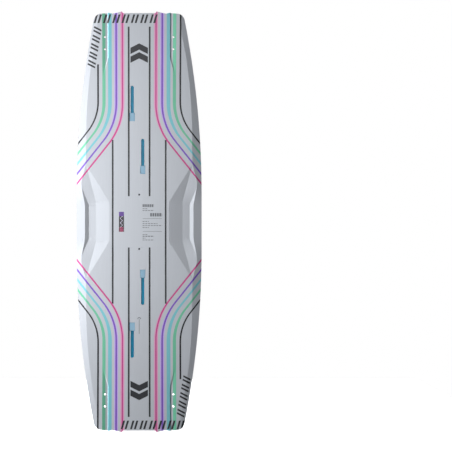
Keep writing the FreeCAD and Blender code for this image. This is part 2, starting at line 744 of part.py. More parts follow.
holes = [pair[0] for pair in fin_holes]
bush_beds = [pair[1] for pair in fin_holes]
layer("deck_topsheet", raw_topsheet, openings + handle_openings + holes)
layer("deck_laminate", raw_deck_laminate, openings + handle_openings + holes)
layer("base_laminate", raw_base_laminate, holes)
layer("base_sheet", raw_base_sheet, holes)

core_blank = cut("CoreBlank", common("CoreTrim", [raw_core, core_prism]),
                 fuse("CoreTools", beds + handle_tools + bush_beds))
CORE_STRIPS = {
    "core_outer_left": ("-{half_width}", "{half_width} - {core_inner_half}"),
    "core_inner_left": ("-{core_inner_half}", "{core_inner_half} - {core_centre_half}"),
    "core_centre": ("-{core_centre_half}", "2 * {core_centre_half}"),
    "core_inner_right": ("{core_centre_half}", "{core_inner_half} - {core_centre_half}"),
    "core_outer_right": ("{core_inner_half}", "{half_width} - {core_inner_half}"),
}
for label, (low_x, wide) in CORE_STRIPS.items():
    area = box("Area_" + label, low_x, "-{reach}", "-{end_z}", wide, "2 * {reach}", "2 * {end_z}")
    strip = common("Strip_" + label, [core_blank, area])
    strip.Label = label
    nodes.append(strip)

rail_ring = common("RailRing", [raw_core, cut("RailPlan", outline_prism, core_prism)])
RAILS = {
    "rail_left": ("-{half_width} - {cut_margin}", "-{tip_rail_start}",
                  "{half_width} + {cut_margin}", "2 * {tip_rail_start}"),
    "rail_right": ("0", "-{tip_rail_start}",
                   "{half_width} + {cut_margin}", "2 * {tip_rail_start}"),
    "rail_upper_tip": ("-{half_width}", "{tip_rail_start}",
                       "2 * {half_width}", "{end_z}"),
    "rail_lower_tip": ("-{half_width}", "-{tip_rail_start} - {end_z}",
                       "2 * {half_width}", "{end_z}"),
}
for label, (low_x, low_z, wide, high) in RAILS.items():
    area = box("Area_" + label, low_x, "-{reach}", low_z, wide, "2 * {reach}", high)
    rail = common("Rail_" + label, [rail_ring, area])
    rail.Label = label
    nodes.append(rail)

sticker = common("Sticker", [raw_label, box(
    "Area_label", "{label_x} - {label_width} / 2", "-{reach}", "-{label_length} / 2",
    "{label_width}", "2 * {reach}", "{label_length}")])
sticker.Label = "deck_label"
nodes.append(sticker)

# ---------------------------------------------------------------- checks and files

doc.recompute()
for item in doc.Objects:
    for state in item.State:
        if state in ("Invalid", "Error"):
            raise RuntimeError(f"{item.Name} failed: {item.State}")
os.makedirs("parts", exist_ok=True)
for node in nodes:
    shape = node.Shape
    if shape.isNull() or not shape.isValid() or not shape.Solids:
        raise RuntimeError(f"{node.Label} has no valid solid")
    shape.exportStep(f"parts/{node.Label}.step")
    bounds = shape.BoundBox
    print(f"{node.Label}: {len(shape.Solids)} solids, {len(shape.Faces)} faces, "
          f"{shape.Volume / 1000:.2f} cm3, x {bounds.XMin:.1f}..{bounds.XMax:.1f}, "
          f"y {bounds.YMin:.1f}..{bounds.YMax:.1f}, z {bounds.ZMin:.1f}..{bounds.ZMax:.1f}")
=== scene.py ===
import json
import math

import bpy
import numpy as np
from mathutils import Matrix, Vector
from mathutils.geometry import delaunay_2d_cdt


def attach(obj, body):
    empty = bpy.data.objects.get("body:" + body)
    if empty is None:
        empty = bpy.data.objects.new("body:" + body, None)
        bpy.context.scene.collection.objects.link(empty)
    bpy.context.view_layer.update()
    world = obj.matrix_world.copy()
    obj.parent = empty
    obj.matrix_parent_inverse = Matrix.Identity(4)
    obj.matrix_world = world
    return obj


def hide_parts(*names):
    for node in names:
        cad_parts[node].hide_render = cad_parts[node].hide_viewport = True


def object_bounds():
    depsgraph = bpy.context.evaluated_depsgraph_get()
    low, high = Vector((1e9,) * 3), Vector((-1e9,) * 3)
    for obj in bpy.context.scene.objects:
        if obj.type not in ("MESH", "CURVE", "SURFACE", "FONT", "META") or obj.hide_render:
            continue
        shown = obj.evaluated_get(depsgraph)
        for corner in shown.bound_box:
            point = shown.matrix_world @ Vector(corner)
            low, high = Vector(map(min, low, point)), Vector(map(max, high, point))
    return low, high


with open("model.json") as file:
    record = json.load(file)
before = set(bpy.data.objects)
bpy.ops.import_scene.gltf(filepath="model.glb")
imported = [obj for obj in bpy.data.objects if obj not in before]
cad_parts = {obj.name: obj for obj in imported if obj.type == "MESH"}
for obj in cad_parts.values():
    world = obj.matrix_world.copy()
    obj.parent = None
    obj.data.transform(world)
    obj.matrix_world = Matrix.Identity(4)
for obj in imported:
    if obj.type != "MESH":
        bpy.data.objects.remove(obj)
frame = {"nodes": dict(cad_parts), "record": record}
cad_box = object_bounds()

MM = 0.001

# ---------------------------------------------------------------- the board's two faces, in mm

HALF_LENGTH, HALF_WIDTH = 680.0, 205.0
ROCKER = 45.0
ROCKER_RADIUS = HALF_LENGTH ** 2 / (2 * ROCKER)

# The sides are straight up to SIDE_START, then an arc that has come in by TAPER at SIDE_END.
SIDE_START, SIDE_END, TAPER = 90.0, 651.0, 57.2
SIDE_RADIUS = ((SIDE_END - SIDE_START) ** 2 + TAPER ** 2) / (2 * TAPER)

SHEET = 0.4       # thickness of a printed sheet
END = 690.0       # creases run to here, past the tip
OVERHANG = 6.0    # the surfaces run on past the outline by this much

# Depth on the centreline, which thins from THINNING_START to the tip. Across the base it is
# HOLLOW_LOSS less at HOLLOW_X, BEVEL_GAIN more again at BEVEL_X, and less over the bevel.
SPINE_DEPTH, TIP_DEPTH, THINNING_START = 13.0, 6.5, 250
HOLLOW_X, HOLLOW_LOSS = 138.5, 2
BEVEL_X, BEVEL_GAIN, BEVEL_END = 191, 1, 389
BEVEL_WIDTH, BEVEL_LOSS = 14, 2

# A crease is a line on one quarter of a face, given as (z, x, value) at its corners, and
# each list goes from the centreline outwards.
APEX = (189.0, 174.5, 0.0)
WALL_END = (113.0, 189.0, 1.2)
DECK_CREASES = [
    [(0, 0, 0), (END, 0, 0)],
    [(0, 97.8, 0), (64.5, 97.8, 0), APEX],
    [(0, 142, 4), (64.5, 142, 4), APEX],
    [(0, 165.5, 4.6), (56, 165.5, 4.6), WALL_END],
    [(475, 117.5, 0), (534, 100, 0), (END, 100, 0)],
    [(475, 117.5, 0), (534, 102.5, 1.8), (END, 102.5, 1.8)],
    [(475, 117.5, 0), (534, 119.6, 0), (END, 119.6, 0)],
    [(0, 178, 1.6), (56, 178, 1.6), WALL_END, (131, 190, 1), APEX, (323, 172.7, 0), (389, 169.4, 0),
     (455, 163.5, 0), (534, 153, 0), (609, 138, 0), (END, 132, 0)],
]
BASE_CREASES = [
    [(0, 0, 0), (END, 0, 0)],
    [(475, 54.5, 0), (534, 53, 0), (END, 53, 0)],
    [(475, 54.5, 0), (534, 56, 0.6), (609, 56, 1.2), (END, 56, 1.2)],
    [(475, 99, 0), (500, 84, 0.3), (534, 73, 0.6), (572, 62.5, 0.9), (609, 56, 1.2)],
    [(475, 99, 0), (534, 98, -0.7), (END, 98, -0.7)],
    [(475, 99, 0), (534, 100.5, 0), (END, 100.5, 0)],
    [(0, HOLLOW_X, 0), (422, HOLLOW_X, 0), (534, 134, 0), (609, 130, 0), (END, 125.5, 0)],
    [(0, BEVEL_X, 0), (BEVEL_END, BEVEL_X, 0)],
]
EDGE_DROP = [4.5, 1.6]  # of the deck, beside the apex and at the end
DECK_BAND = DECK_CREASES[-1]
BASE_HOLLOW = BASE_CREASES[-2]


def outline_x(z):
    """Half the board's width at z: straight sides, then one long arc to the tip."""
    past = np.maximum(0.0, z - SIDE_START)
    return HALF_WIDTH - SIDE_RADIUS + np.sqrt(SIDE_RADIUS ** 2 - past ** 2)


def base_share(x, z):
    """Depth of the base as a share of the thickness on the centreline."""
    hollow = np.interp(z, [c[0] for c in BASE_HOLLOW], [c[1] for c in BASE_HOLLOW])
    lost = HOLLOW_LOSS / SPINE_DEPTH
    rise = (BEVEL_GAIN / SPINE_DEPTH) / (BEVEL_X - HOLLOW_X)
    fall = BEVEL_LOSS / SPINE_DEPTH / BEVEL_WIDTH
    inner = 1 - lost * x / hollow
    outer = 1 - lost + rise * (x - hollow)
    bevel = 1 - lost + rise * (BEVEL_X - hollow) - fall * (x - BEVEL_X)
    return np.where(x <= hollow, inner, np.where((x > BEVEL_X) & (z <= BEVEL_END), bevel, outer))


def thickness(z):
    return np.interp(z, [THINNING_START, HALF_LENGTH], [SPINE_DEPTH, TIP_DEPTH])


def rocker(z):
    return z ** 2 / (2 * ROCKER_RADIUS)


def across(creases, level, x, z, edge_line):
    """Value at (x, z) between the creases that run at z.
    level turns a crease's value into the surface's."""
    x, z = np.abs(x), np.abs(z)
    left_x, left = np.zeros_like(x), level(np.zeros_like(x), z, 0.0)
    value = left.copy()
    for corners in creases[1:]:
        cz, cx, cv = (np.array(column, float) for column in zip(*corners))
        here = (z >= cz[0]) & (z <= cz[-1])
        right_x = np.interp(z, cz, cx)
        right = level(right_x, z, np.interp(z, cz, cv))
        share = np.clip((x - left_x) / np.maximum(right_x - left_x, 1e-9), 0, 1)
        value = np.where(here & (x >= left_x), left + (right - left) * share, value)
        left_x, left = np.where(here, right_x, left_x), np.where(here, right, left)
    edge_x, edge = edge_line(z)
    slope = (edge - left) / (edge_x - left_x)
    return np.where(x > left_x, left + slope * (x - left_x), value)


# The outer edge of each surface is straight between these z values.
BETWEEN_CORNERS = {0, 30, 77, 89, 101, 160, 220, 250, 286, 356, 405, 422, 500, 572, 650, 668}
AT_CORNERS = {corner[0] for corners in DECK_CREASES + BASE_CREASES for corner in corners}
STATIONS = np.array(sorted(BETWEEN_CORNERS | AT_CORNERS), float)


def past_edge(values):
    """Line just outside the outline, straight between stations."""
    return lambda z: (np.interp(z, STATIONS, outline_x(STATIONS) + OVERHANG), np.interp(z, STATIONS, values))


def deck_past():
    """Drop of the deck just outside the outline, at each station.
    The slope is the one from the outermost crease to the edge."""
    band_z, band_x, band_drop = zip(*DECK_BAND)
    band_x, band_drop = np.interp(STATIONS, band_z, band_x), np.interp(STATIONS, band_z, band_drop)
    edge_drop = np.interp(STATIONS, [APEX[0], END], EDGE_DROP)
    slope = (edge_drop - band_drop) / (outline_x(STATIONS) - band_x)
    return band_drop + slope * (outline_x(STATIONS) + OVERHANG - band_x)


deck_edge = past_edge(deck_past())
base_edge = past_edge(thickness(STATIONS)
                      * base_share(outline_x(STATIONS) + OVERHANG, STATIONS))


def deck_y(x, z):
    return across(DECK_CREASES, lambda cx, cz, v: v + 0 * cx, x, z, deck_edge) - rocker(z)


def base_y(x, z):
    drop = across(BASE_CREASES, lambda cx, cz, v: thickness(cz) * base_share(cx, cz) + v,
                  x, z, base_edge)
    return drop - rocker(z)


CORNER_AND_TIP = [(146.6, 655.5), (144.6, 659.8), (142, 663.8), (139.6, 666.4), (136, 669.1),
                  (131.8, 671.2), (127, 672.7), (122, 673.4), (104, 674.8), (99.5, 676.2),
                  (87, 673.2), (74, 675.5), (56, 680), (53, 675), (0, 675)]


def outline():
    """The plan outline, anticlockwise from the middle of the right rail."""
    side = [(float(outline_x(z)), float(z)) for z in np.linspace(SIDE_START, SIDE_END, 34)]
    quarter = [(HALF_WIDTH, 0.0)] + side + CORNER_AND_TIP
    top = quarter + [(-x, z) for x, z in quarter[-2::-1]]
    return top + [(x, -z) for x, z in top[-2:0:-1]]


# ---------------------------------------------------------------- plan shapes


QUARTERS = ((1, 1), (-1, 1), (-1, -1), (1, -1))  # signs of x and z
DISC_SIDES = 24


def disc(x, z, radius):
    turns = [2 * math.pi * k / DISC_SIDES for k in range(DISC_SIDES)]
    return [(x + radius * math.cos(a), z + radius * math.sin(a)) for a in turns]


def bar(x_a, x_b, z_a, z_b):
    x_a, x_b = sorted((x_a, x_b))
    z_a, z_b = sorted((z_a, z_b))
    return [(x_a, z_a), (x_b, z_a), (x_b, z_b), (x_a, z_b)]


def turned(shape, flip_x=1, flip_z=1):
    """The shape with x or z negated, kept anticlockwise."""
    points = [(x * flip_x, z * flip_z) for x, z in shape]
    return points if flip_x * flip_z > 0 else points[::-1]


def anticlockwise(shape):
    area = sum(a[0] * b[1] - b[0] * a[1] for a, b in zip(shape, shape[1:] + shape[:1]))
    return shape if area > 0 else shape[::-1]


def track_mouth(x, z):
    """Keyhole of a strap track whose slot starts at z and runs towards the tip.
    The track lies along the rocker, so its plan is a little shorter than it is."""
    mouth, mouth_long, slot, slot_long = 8.5, 27, 5.3, 87.5
    bend = slot_long - slot
    middle = abs(z) + (slot_long - mouth_long) / 2
    lean = math.cos(math.atan(middle / ROCKER_RADIUS))
    start = middle + (abs(z) - middle) * lean
    flat = [(-mouth, 0), (-mouth, -mouth_long), (mouth, -mouth_long), (mouth, 0), (slot, 0), (slot, bend)]
    flat += [(slot * math.cos(a), bend + slot * math.sin(a))
             for a in [math.pi * k / 12 for k in range(1, 12)]]
    flat += [(-slot, bend), (-slot, 0)]
    shape = anticlockwise([(x + u, start + v * lean) for u, v in flat])
    return shape if z > 0 else turned(shape, 1, -1)


TURN = math.radians(38.7)
PAST_TIP_Z, PAST_RAIL_X = 700.0, 225
BEND_STEPS = 12


def lane(x, crossing, radius, tip, side, top=PAST_TIP_Z):
    """A printed lane: down from the tip at x, round one bend and straight out over the rail,
    which its middle crosses at z = crossing. tip and side are half its width before and
    after the bend."""
    corner = crossing + (HALF_WIDTH - x) / math.tan(TURN)
    start = corner + radius * math.tan(TURN / 2)
    rows = [(x, top, 1, 0, 0.0)]
    for k in range(BEND_STEPS + 1):
        a = TURN * k / BEND_STEPS
        rows.append((x + radius * (1 - math.cos(a)), start - radius * math.sin(a),
                     math.cos(a), math.sin(a), k / BEND_STEPS))
    run = (PAST_RAIL_X - rows[-1][0]) / math.sin(TURN)
    rows.append((rows[-1][0] + run * math.sin(TURN), rows[-1][1] - run * math.cos(TURN),
                 math.cos(TURN), math.sin(TURN), 1.0))
    near, far = ([(px + sign * nx * (tip + (side - tip) * t), pz + sign * nz * (tip + (side - tip) * t))
                  for px, pz, nx, nz, t in rows] for sign in (-1, 1))
    return anticlockwise(near + far[::-1])


def slashes(start, end, wide, blocks, bars, lean=0.3, fill=0.52, gap=0.22):
    """Groups of leaning bars from start to end, and wide across that line.
    fill is a bar's share of its step, and gap is the space's share of a group's pitch."""
    run = (end[0] - start[0], end[1] - start[1])
    length = math.hypot(*run)
    u = (run[0] / length, run[1] / length)
    v = (-u[1], u[0])
    pitch = length / (blocks - gap)
    group = pitch * (1 - gap)
    step = group / (bars - 1 + fill + lean * wide / group)
    shapes = []
    for block in range(blocks):
        for k in range(bars):
            low = block * pitch + k * step
            high = low + lean * wide
            corners = [(low, -wide / 2), (low + fill * step, -wide / 2),
                       (high + fill * step, wide / 2), (high, wide / 2)]
            shapes.append(anticlockwise([(start[0] + a * u[0] + b * v[0],
                                          start[1] + a * u[1] + b * v[1]) for a, b in corners]))
    return shapes


def chevron(z, wide, high, thick):
    """A plain arrow head that points to the tip, its lowest points at z."""
    return anticlockwise([(-wide, z), (-wide, z + thick), (0, z + high),
                          (wide, z + thick), (wide, z), (0, z + high - thick)])


# ---------------------------------------------------------------- what is printed on the deck

deck_print = []


def deck(kind, shapes):
    deck_print.extend((kind, shape) for shape in shapes)


# Each lane: print, x at the tip, crossing, radius of the bend, half width before it and after.
# A later print lies on an earlier one.
DECK_LANES = [("deck_pale_pink", 54.6, 124, 209, 6.6, 2.6), ("deck_pale_purple", 74.8, 155.5, 195, 6.6, 2.6),
              ("deck_cyan", 95.4, 187, 181, 6.2, 3.2), ("deck_green", 114.8, 218.5, 168, 5.2, 3.0),
              ("deck_pink", 54.6, 124, 209, 2.2, 2.6), ("deck_purple", 74.8, 155.5, 195, 2.8, 2.6)]
DECK_BLACK_LANE = (134, 250, 154, 2.8, 2.3)
CORNER_MARKS_END = 512.0
for sx, sz in QUARTERS:
    for kind, *where in DECK_LANES:
        deck(kind, [turned(lane(*where), sx, sz)])
    black_top = CORNER_MARKS_END if sx * sz < 0 else PAST_TIP_Z  # two corners have marks beyond it
    deck("deck_black", [turned(lane(*DECK_BLACK_LANE, black_top), sx, sz)])
    deck("deck_line", [turned(bar(31.3, 36.9, 84, 632), sx, sz), turned(bar(84.1, 89.5, 0, 268), sx, sz)])
for half in (1, -1):
    marks = slashes((60, 657), (-144, 657), 27, 7, 2) + slashes((-133, 632), (-156, 505), 26, 5, 2)
    marks += [chevron(z, 28.5, 34, 20) for z in (517, 545)]
    deck("deck_mark", [turned(shape, half, half) for shape in marks])

# Rows of small print as dashes: z, height, start, end and the dashes' pitch, or None for a rule.
SMALL_PRINT = [(53, 9, 11, 48, 6), (43, 2, 11, 26, 9), (37, 2, 11, 48, 9), (23, 11, 36, 75, 7.5),
               (10.7, 1, 11.5, 74.5, None), (1.2, 2, 11, 32, 9), (-6, 2, 11, 60, 9),
               (-12.4, 2, 11, 75, 9), (-18.8, 2, 11, 32, 9), (-31.5, 1, 11.5, 74.5, None),
               (-42, 2, 11, 27, 9), (-47.4, 3, 11, 48, 9), (-53.5, 2, 11, 22, 9), (-59.6, 2, 11, 48, 9)]
DASH_FILL = 0.76
SHORTEST_DASH = 0.5
for z, high, x_a, x_b, pitch in SMALL_PRINT:
    spans = [(x_a, x_b)]
    if pitch:
        starts = np.arange(x_a, x_b - SHORTEST_DASH, pitch)
        spans = [(float(x), min(float(x) + pitch * DASH_FILL, x_b)) for x in starts]
    deck("deck_fine", [bar(left, right, z - high / 2, z + high / 2) for left, right in spans])

# A thin stem with a half ring on top, below the centre.
RING_Z, RING_RADIUS, RING_HOLE = -318, 6, 0.6
STEM_FOOT, STEM_HALF = -366, 0.8
arch = [(RING_RADIUS * math.cos(a), RING_RADIUS * math.sin(a))
        for a in [math.pi * k / 10 for k in range(11)]]
ring = [(x, RING_Z + z) for x, z in arch]
ring += [(RING_HOLE * x, RING_Z + RING_HOLE * z) for x, z in arch[::-1]]
deck("deck_fine", [anticlockwise(ring), bar(-STEM_HALF, STEM_HALF, STEM_FOOT, RING_Z)])

# ---------------------------------------------------------------- what is printed on the base

base_print = []


def base(kind, shapes):
    base_print.extend((kind, shape) for shape in shapes)


BASE_LANES = [("base_pink", 35.8, 105, 226, 2.9, 1.9), ("base_purple", 56, 137, 210, 4.6, 2.0),
              ("base_cyan", 76, 169.5, 193, 3.0, 1.9), ("base_green", 95.6, 202, 172, 2.6, 1.8),
              ("base_white", 116.5, 234.5, 152, 2.1, 1.7)]
for sx, sz in QUARTERS:
    for kind, *where in BASE_LANES:
        if kind == "base_cyan" and (sx, sz) == (-1, -1):
            kind = "base_white"  # one corner of the base has a white line here
        base(kind, [turned(lane(*where), sx, sz)])
for half in (1, -1):
    base("base_mark", [turned(chevron(z, 53, 66, 38), 1, half) for z in (354, 406)])
base("base_mark", slashes((0, 272), (0, -272), 86, 7, 3, lean=0.12, fill=0.5, gap=0.2))

# ---------------------------------------------------------------- sheets cut from the plan

TRACKS = ((-22.7, 356.0), (11.5, 184.0))
HANDLE_Z, HANDLE_HOLE = 89, 3.2
FIN_X, FIN_Z, FIN_HOLE = 111, (561, 599.5), 3.25
deck_holes = [track_mouth(x, z * side) for x, z in TRACKS for side in (1, -1)]
deck_holes += [disc(0, HANDLE_Z * side, HANDLE_HOLE) for side in (1, -1)]
screw_holes = [disc(FIN_X * sx, z * sz, FIN_HOLE) for sx, sz in QUARTERS for z in FIN_Z]
ROWS = 80        # the plan is cut across into this many strips, for the rocker's curve
PAST_SIDE = 212
MERGE = 1e-3     # points nearer than this become one


def plan(creases, prints, holes):
    """Points and triangles of the plan, and the kind of print on each triangle."""
    points, edges, faces = [], [], []

    def add(shape, closed=True):
        first = len(points)
        points.extend(shape)
        count = len(shape)
        edges.extend((first + k, first + (k + 1) % count) for k in range(count if closed else count - 1))
        if closed:
            faces.append(list(range(first, first + count)))

    add(outline())
    for hole in holes:
        add(hole)
    for _kind, shape in prints:
        add(shape)
    for corners in creases:
        for sx, sz in QUARTERS:
            add([(sx * x, sz * z) for z, x, _v in corners], closed=False)
    for k in range(1, ROWS):
        z = HALF_LENGTH * (2 * k / ROWS - 1)
        add([(-PAST_SIDE, z), (PAST_SIDE, z)], closed=False)
    found = delaunay_2d_cdt(points, edges, faces, 0, MERGE, True)
    spots, triangles, owners = found[0], found[2], found[5]
    kept, kinds = [], []
    for triangle, owner in zip(triangles, owners):
        if 0 not in owner or any(0 < k <= len(holes) for k in owner):
            continue
        kept.append(tuple(triangle))
        top = max((k for k in owner if k > len(holes)), default=0)
        kinds.append(prints[top - 1 - len(holes)][0] if top else "")
    return np.array([(p[0], p[1]) for p in spots]), kept, kinds


INSET = 0.05  # a corner's normal is taken this share of the way to its triangle's middle


def normals_at(surface, x, z, outward):
    """The surface's unit normals, from the slope just round each point."""
    step = 0.004
    slope_x = (surface(x + step, z) - surface(x - step, z)) / (2 * step)
    slope_z = (surface(x, z + step) - surface(x, z - step)) / (2 * step)
    found = np.stack([-slope_x, np.ones_like(x), -slope_z], axis=1) * outward
    return found / np.linalg.norm(found, axis=1, keepdims=True)


def sheets(surface, outward, creases, prints, holes, plain):
    """One closed sheet for each kind of print, and one for the plain rest.
    outward is -1 for the deck, which faces -Y, and 1 for the base."""
    spots, triangles, kinds = plan(creases, prints, holes)
    y = surface(spots[:, 0], spots[:, 1])
    order = [0, 1, 2] if outward < 0 else [0, 2, 1]
    pieces = {}
    for kind in sorted(set(kinds)):
        chosen = [t for t, k in zip(triangles, kinds) if k == kind]
        used = sorted({v for t in chosen for v in t})
        at = {v: k for k, v in enumerate(used)}
        count = len(used)
        verts = [(spots[v, 0] * MM, (y[v] - outward * below) * MM, spots[v, 1] * MM)
                 for below in (0, SHEET) for v in used]
        corners = [tuple(at[v] for v in t) for t in chosen]
        faces = [tuple(t[k] for k in order) for t in corners]
        sides = {}
        for a, b, c in corners:
            faces.append((a + count, c + count, b + count) if outward < 0
                         else (a + count, b + count, c + count))
            for edge in ((a, b), (b, c), (c, a)):
                if edge[::-1] in sides:
                    del sides[edge[::-1]]
                else:
                    sides[edge] = True
        for a, b in sides:
            faces.append((b, a, a + count, b + count) if outward < 0
                         else (a, b, b + count, a + count))
        mesh = bpy.data.meshes.new(kind or plain)
        mesh.from_pydata(verts, [], faces)
        mesh.update()
        mesh.polygons.foreach_set("use_smooth", [True] * len(mesh.polygons))
        face_normals = [p.normal[:] for p in mesh.polygons]
        corner_normals = np.repeat(face_normals, [p.loop_total for p in mesh.polygons], axis=0)
        plan_corners = np.array([[spots[v] for v in t] for t in chosen])
        middles = plan_corners.mean(axis=1, keepdims=True)
        inside = (plan_corners + INSET * (middles - plan_corners)).reshape(-1, 2)
        outer = normals_at(surface, inside[:, 0], inside[:, 1], outward)
        corner_normals[:len(outer)] = outer.reshape(-1, 3, 3)[:, order, :].reshape(-1, 3)
        mesh.normals_split_custom_set(corner_normals.tolist())
        piece = bpy.data.objects.new(kind or plain, mesh)
        bpy.context.collection.objects.link(piece)
        pieces[kind or plain] = piece
    return pieces


# ---------------------------------------------------------------- materials


def linear(red, green, blue):
    """A display colour from 0 to 255 as the linear colour a shader takes."""
    return tuple((c / 255 / 12.92 if c <= 10 else ((c / 255 + 0.055) / 1.055) ** 2.4)
                 for c in (red, green, blue)) + (1.0,)


class Nodes:
    """A Principled material with short calls for the nodes that feed it."""

    def __init__(self, name, **values):
        self.material = bpy.data.materials.new(name)
        self.material.use_nodes = True
        self.tree = self.material.node_tree
        self.shader = self.tree.nodes["Principled BSDF"]
        for key, value in values.items():
            self.shader.inputs[key.replace("_", " ")].default_value = value
        self.place = self.add("ShaderNodeTexCoord").outputs["Object"]

    def add(self, kind, inputs=(), **settings):
        node = self.tree.nodes.new(kind)
        for key, value in settings.items():
            setattr(node, key, value)
        for key, value in dict(inputs).items():
            if isinstance(value, bpy.types.NodeSocket):
                self.tree.links.new(value, node.inputs[key])
            else:
                node.inputs[key].default_value = value
        return node

    def feed(self, key, value):
        self.tree.links.new(value, self.shader.inputs[key])

    def noise(self, scale, stretch=(1, 1, 1), detail=2.0, rough=0.5):
        spot = self.add("ShaderNodeMapping", {"Vector": self.place, "Scale": stretch}).outputs[0]
        return self.add("ShaderNodeTexNoise",
                        {"Vector": spot, "Scale": scale, "Detail": detail, "Roughness": rough}).outputs[0]

    def span(self, value, low, high, out_low, out_high):
        return self.add("ShaderNodeMapRange", {"Value": value, "From Min": low, "From Max": high,
                                               "To Min": out_low, "To Max": out_high}).outputs[0]

    def maths(self, operation, a, b=0.0):
        return self.add("ShaderNodeMath", {0: a, 1: b}, operation=operation).outputs[0]

    def mix(self, share, a, b):
        return self.add("ShaderNodeMix", {0: share, 6: a, 7: b}, data_type="RGBA").outputs[2]

    def axis(self, name):
        return self.add("ShaderNodeSeparateXYZ", {0: self.place}).outputs[name]

    def bump(self, height, strength, distance):
        self.feed("Normal", self.add("ShaderNodeBump", {"Height": height, "Strength": strength,
                                                        "Distance": distance}).outputs[0])

    def vary(self, value, colour, darker, lighter):
        """A colour that goes from darker to lighter times itself as the noise value rises."""
        ends = [tuple(min(1.0, c * factor) for c in colour[:3]) + (1.0,) for factor in (darker, lighter)]
        return self.mix(self.span(value, 0.3, 0.7, 0, 1), *ends)


def satin_print(name, rgb, spread=0.05):
    """Ink under a satin clear film: slow cloudiness, faint lengthwise drag and a fine grain."""
    m = Nodes(name, Metallic=0.1)
    cloud = m.noise(7, (1, 1, 0.35), 3)
    drag = m.noise(90, (4, 4, 0.05), 2)
    both = m.maths("ADD", m.maths("MULTIPLY", cloud, 0.6), m.maths("MULTIPLY", drag, 0.4))
    m.feed("Base Color", m.vary(both, linear(*rgb), 1 - spread, 1 + spread))
    grain = m.noise(1400, (1, 1, 1), 2)
    m.feed("Roughness", m.span(m.maths("ADD", cloud, grain), 0.6, 1.4, 0.33, 0.44))
    m.bump(grain, 0.12, 0.0002)
    return m.material


# Tones from the lower tip to the upper, on the -X side and on the +X side. The +X side is lighter than the
# -X side, and that difference is a painted reflection.
FIBRE_SPOTS = (0.0, 0.16, 0.28, 0.5, 0.72, 0.9, 1.0)
FIBRE_AND_SHEEN_TONES = (
    ((46, 26, 38), (44, 34, 52), (54, 50, 64), (76, 88, 82), (84, 92, 96), (80, 62, 88), (70, 50, 68)),
    ((50, 68, 64), (38, 62, 56), (46, 64, 62), (80, 92, 84), (88, 98, 98), (94, 88, 102), (92, 80, 94)),
)
PINSTRIPE_PITCH = 0.0078


def fibre_and_sheen_colour(m, threads):
    """Threads and dark pinstripes along the board, their tone changing from tip to tip and lighter on the +X
    side as a painted reflection.
    """
    up = m.span(m.axis("Z"), -0.68, 0.68, 0, 1)
    tones = []
    for stops in FIBRE_AND_SHEEN_TONES:
        ramp = m.add("ShaderNodeValToRGB", {"Fac": up})
        while len(ramp.color_ramp.elements) < len(stops):
            ramp.color_ramp.elements.new(0.5)
        for element, spot, tone in zip(ramp.color_ramp.elements, FIBRE_SPOTS, stops):
            element.position = spot
            element.color = linear(*tone)
        tones.append(ramp.outputs[0])
    # Painted reflection: the +X half of the base is lighter than the -X half.
    colour = m.mix(m.span(m.axis("X"), -0.12, 0.12, 0, 1), *tones)
    phase = m.maths("ADD", m.maths("MULTIPLY", m.axis("X"), 2 * math.pi / PINSTRIPE_PITCH),
                    m.maths("MULTIPLY", m.noise(9, (1, 1, 0.0), 1), 5.0))
    stripe = m.span(m.maths("SINE", phase), 0.2, 0.95, 0, 0.55)
    light = m.mix(m.span(threads, 0.35, 0.65, 0, 0.3), colour, linear(120, 128, 132))
    return m.mix(stripe, light, linear(22, 24, 26))


def gloss_base(name, rgb=None):
    """Gloss resin over an ink, or, where no ink is given, over dark fibre with a painted reflection on its
    +X half.
    """
    m = Nodes(name, Coat_Weight=0.6, Coat_Roughness=0.13)
    threads = m.noise(260, (3.2, 1, 0.02), 1)
    m.feed("Base Color", m.vary(threads, linear(*rgb), 0.92, 1.06) if rgb else fibre_and_sheen_colour(m, threads))
    m.feed("Roughness", m.span(m.noise(5, (1, 1, 0.4), 3), 0.3, 0.7, 0.16, 0.26))
    m.bump(threads, 0.1, 0.0001)
    return m.material


def moulded(name, rgb, rough=0.45):
    """Moulded or milled plastic with a fine texture."""
    m = Nodes(name)
    cloud = m.noise(40, (1, 1, 0.5), 3)
    m.feed("Base Color", m.vary(cloud, linear(*rgb), 0.93, 1.07))
    fine = m.noise(900, (1, 1, 1), 3)
    m.feed("Roughness", m.span(fine, 0.3, 0.7, rough - 0.07, rough + 0.08))
    m.bump(fine, 0.25, 0.0002)
    return m.material


def turned_steel(name, rgb):
    """Machined stainless steel with small scratches."""
    m = Nodes(name, Metallic=1.0)
    scratch = m.noise(700, (6, 1, 0.3), 3)
    m.feed("Base Color", m.vary(scratch, linear(*rgb), 0.85, 1.1))
    m.feed("Roughness", m.span(scratch, 0.3, 0.7, 0.26, 0.42))
    m.bump(scratch, 0.2, 0.0001)
    return m.material


def glass_laminate(name):
    """Resin-soaked glass cloth: a woven green-yellow edge."""
    m = Nodes(name)
    weave = m.add("ShaderNodeTexChecker", {"Vector": m.place, "Scale": 900.0}).outputs["Fac"]
    cloud = m.noise(30, (1, 1, 0.5), 3)
    share = m.maths("ADD", m.maths("MULTIPLY", weave, 0.35), m.maths("MULTIPLY", cloud, 0.65))
    m.feed("Base Color", m.mix(share, linear(74, 74, 58), linear(112, 108, 84)))
    m.feed("Roughness", m.span(cloud, 0.3, 0.7, 0.5, 0.65))
    m.bump(weave, 0.2, 0.0001)
    return m.material


def pale_wood(name):
    """Paulownia strips: long grain with darker growth lines."""
    m = Nodes(name)
    grain = m.noise(60, (5, 5, 0.12), 4, 0.6)
    pores = m.noise(600, (3, 3, 0.1), 2)
    share = m.span(m.maths("ADD", m.maths("MULTIPLY", grain, 0.75), m.maths("MULTIPLY", pores, 0.25)),
                   0.32, 0.68, 0, 1)
    m.feed("Base Color", m.mix(share, linear(176, 142, 98), linear(224, 198, 152)))
    m.feed("Roughness", m.span(grain, 0.3, 0.7, 0.5, 0.65))
    m.bump(pores, 0.3, 0.0003)
    return m.material


